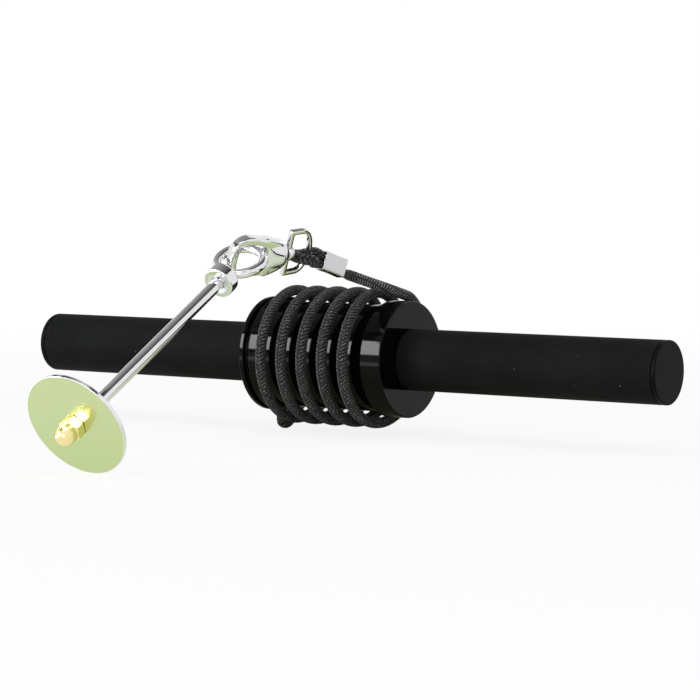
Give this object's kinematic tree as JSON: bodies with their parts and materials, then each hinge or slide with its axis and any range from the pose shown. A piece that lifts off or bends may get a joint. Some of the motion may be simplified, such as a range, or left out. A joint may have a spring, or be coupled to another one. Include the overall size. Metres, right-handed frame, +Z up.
{
  "type": "wrist roller",
  "caption": "Bar with long grips and a flanged drum; a braided cord wound on the drum leads to a crimped loop, a swivel snap hook and a rod with a disc that carries weight plates.",
  "frame": {"origin": "middle of the bar, on the bar's axis", "axes": "+X along the bar to the right, +Z up, +Y away from the side on which the hook and the rod hang out"},
  "size_m": [0.483, 0.3443, 0.1376],
  "materials": {
    "grip_foam": "matte black foam sleeve",
    "cap_plastic": "matte black",
    "drum_gloss": "high gloss black",
    "tube_steel": "plain steel",
    "cord_braid": "black braid with a fine grey fleck",
    "sleeve_metal": "satin light grey metal",
    "bright_chrome": "mirror bright",
    "pale_zinc": "bright with a pale yellow-green tint",
    "polished_brass": "polished"
  },
  "bodies": {
    "roller": {"core_tube": "tube_steel", "left_grip": "grip_foam", "right_grip": "grip_foam", "left_end_cap": "cap_plastic", "right_end_cap": "cap_plastic", "drum": "drum_gloss", "drum_screw_1": "tube_steel", "drum_screw_2": "tube_steel", "anchor_knot": "cord_braid", "cord_winding": "cord_braid", "cord_lead": "cord_braid", "cord_loop": "cord_braid", "crimp_sleeve": "sleeve_metal"},
    "eye": {"swivel_eye": "bright_chrome"},
    "hook": {"swivel_rivet": "bright_chrome", "hook_body": "bright_chrome", "gate_pin": "tube_steel", "gate_spring": "tube_steel"},
    "gate": {"hook_gate": "bright_chrome"},
    "loading_rod": {"eye_nut": "bright_chrome", "plate_rod": "bright_chrome", "lock_nut": "tube_steel", "plate_disc": "pale_zinc", "dome_nut": "polished_brass"}
  },
  "joints": [
    {"name": "eye_on_loop", "type": "hinge", "parent": "roller", "child": "eye", "pos_m": [0.02089, -0.07047, 0.06771], "axis": [0.527, -0.0676, 0.8472], "range_deg": [-30, 30]},
    {"name": "hook_swivel", "type": "hinge", "parent": "eye", "child": "hook", "pos_m": [0.01822, -0.08643, 0.07118], "axis": [-0.3652, -0.9224, -0.1253], "continuous": true},
    {"name": "gate_hinge", "type": "hinge", "parent": "hook", "child": "gate", "pos_m": [0.00923, -0.09842, 0.0612], "axis": [-0.8559, 0.2798, 0.4349], "range_deg": [0, 30], "stiffness_Nm_per_rad": 0.05, "springref_deg": -22.92},
    {"name": "rod_on_hook", "type": "hinge", "parent": "hook", "child": "loading_rod", "pos_m": [0.01184, -0.10695, 0.07182], "axis": [-0.8703, 0.3095, 0.3831], "range_deg": [-80, 80]}
  ]
}
